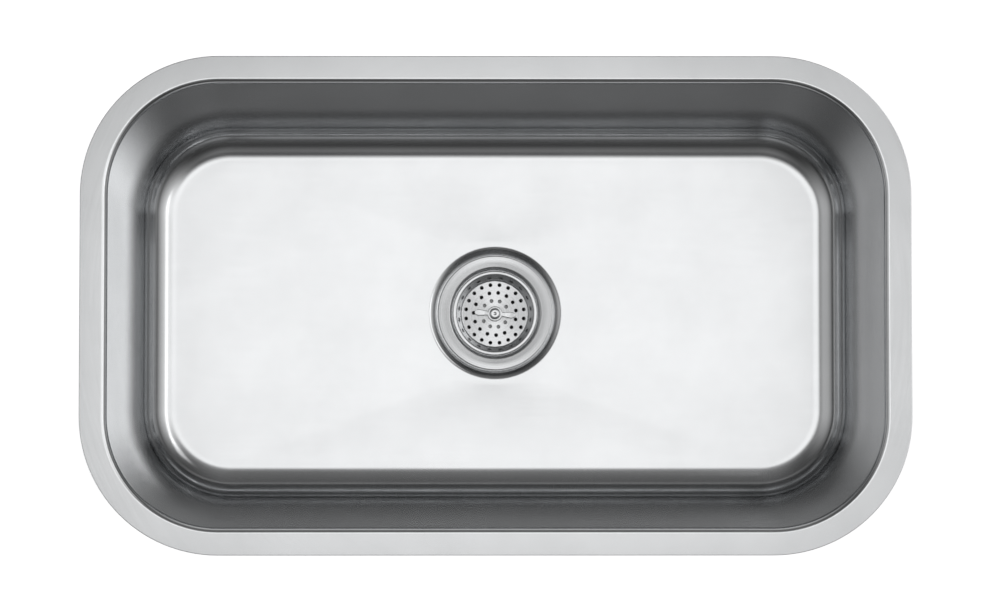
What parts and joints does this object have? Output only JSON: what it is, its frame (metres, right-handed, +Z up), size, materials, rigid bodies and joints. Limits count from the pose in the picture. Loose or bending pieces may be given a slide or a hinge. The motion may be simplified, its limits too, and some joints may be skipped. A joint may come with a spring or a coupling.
{
  "type": "undermount kitchen sink",
  "caption": "Undermount kitchen sink: a deep drawn stainless-steel bowl with rounded corners and a flat rim, and a basket strainer that lifts out and turns.",
  "frame": {"origin": "centre of the bowl's mouth, in the plane of the rim's top face", "axes": "+Z up, out of the bowl; +X along the sink; +Y towards its back"},
  "size_m": [0.762, 0.4572, 0.2962],
  "materials": {
    "bowl_steel": "satin brushed stainless steel",
    "strainer_steel": "satin stainless steel",
    "bright_steel": "polished stainless steel",
    "deadener_rubber": "matt grey rubber sheet",
    "black_rubber": "smooth black rubber",
    "fibre": "pressed fibre",
    "plated_nut": "dull plated die casting",
    "brass": "plain machined brass",
    "washer_plastic": "natural white plastic"
  },
  "bodies": {
    "sink": {"sink_bowl": "bowl_steel", "sound_deadener_floor_left": "deadener_rubber", "sound_deadener_floor_right": "deadener_rubber", "sound_deadener_front": "deadener_rubber", "sound_deadener_back": "deadener_rubber", "sound_deadener_left": "deadener_rubber", "sound_deadener_right": "deadener_rubber", "drain_body": "strainer_steel", "flange_seal": "black_rubber", "sink_gasket": "black_rubber", "friction_ring": "fibre", "lock_nut": "plated_nut", "coupling_nut": "brass", "outlet_washer": "washer_plastic"},
    "stopper": {"rubber_stopper": "black_rubber", "stopper_plate": "strainer_steel"},
    "basket": {"basket": "strainer_steel", "basket_stem": "bright_steel", "lift_bar": "bright_steel", "lift_knob": "bright_steel", "stem_spacer": "bright_steel", "stem_washer": "bright_steel", "stem_nut": "brass", "snap_catch": "bright_steel"}
  },
  "joints": [
    {"name": "basket_lift", "type": "slide", "parent": "sink", "child": "stopper", "axis": [0, 0, 1], "range_m": [0, 0.3]},
    {"name": "basket_turn", "type": "hinge", "parent": "stopper", "child": "basket", "pos_m": [0, 0, -0.2577], "axis": [0, 0, 1], "continuous": true}
  ]
}
